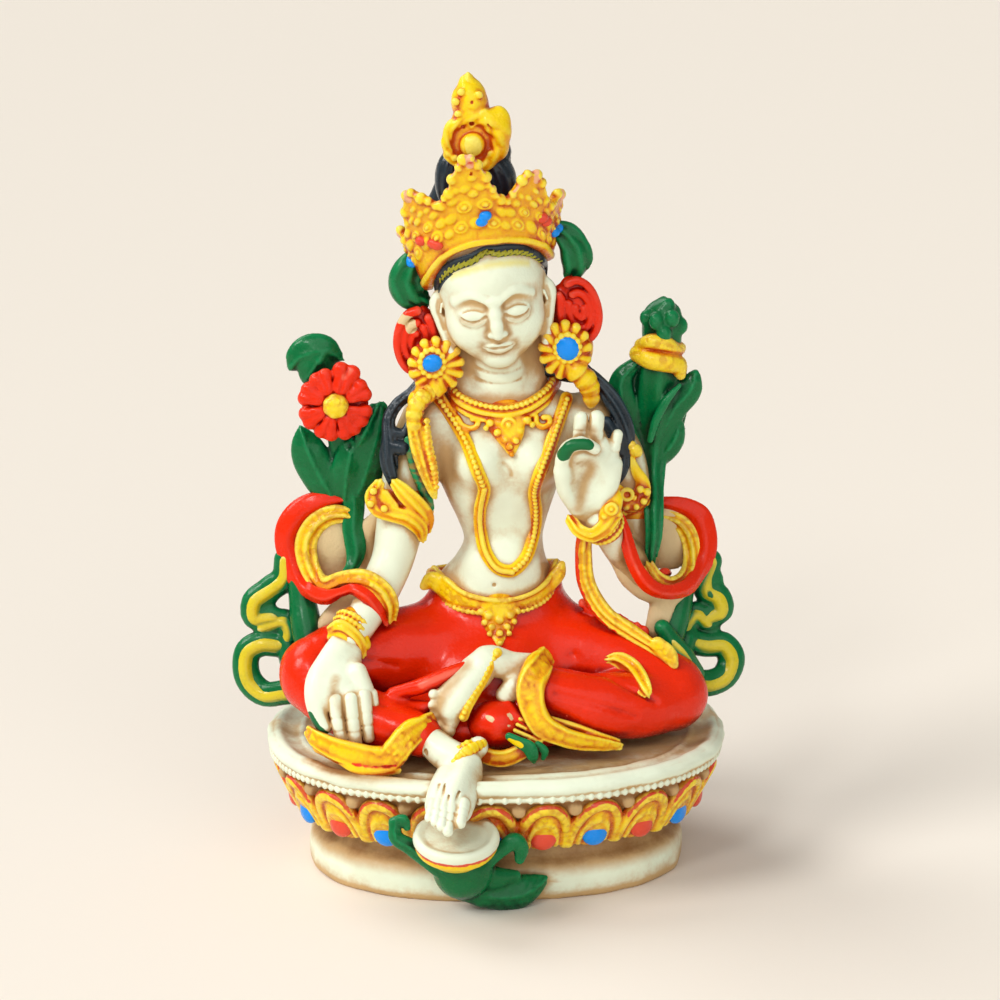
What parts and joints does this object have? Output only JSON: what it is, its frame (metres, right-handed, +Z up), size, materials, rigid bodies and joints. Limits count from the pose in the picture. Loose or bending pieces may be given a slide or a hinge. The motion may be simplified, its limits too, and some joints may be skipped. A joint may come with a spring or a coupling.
{
  "type": "seated tara figure on a lotus throne",
  "caption": "Small painted cast-resin figure of a seated goddess with crown, scarf and flowers, on an oval lotus throne with a flat underside.",
  "frame": {"origin": "middle of the throne's flat underside", "axes": "+Z up the figure, -Y the way it faces, +X towards its left hand"},
  "size_m": [0.0779, 0.0594, 0.1204],
  "materials": {
    "pale_resin": "cream paint with a tan wash in the hollows",
    "gold_paint": "bright gold paint with an orange-red glaze in the hollows",
    "red_enamel": "glossy orange-red enamel",
    "green_enamel": "glossy deep green enamel",
    "hair_enamel": "satin blue-black enamel"
  },
  "bodies": {
    "root": {"tara_figure": "pale_resin"}
  },
  "joints": []
}
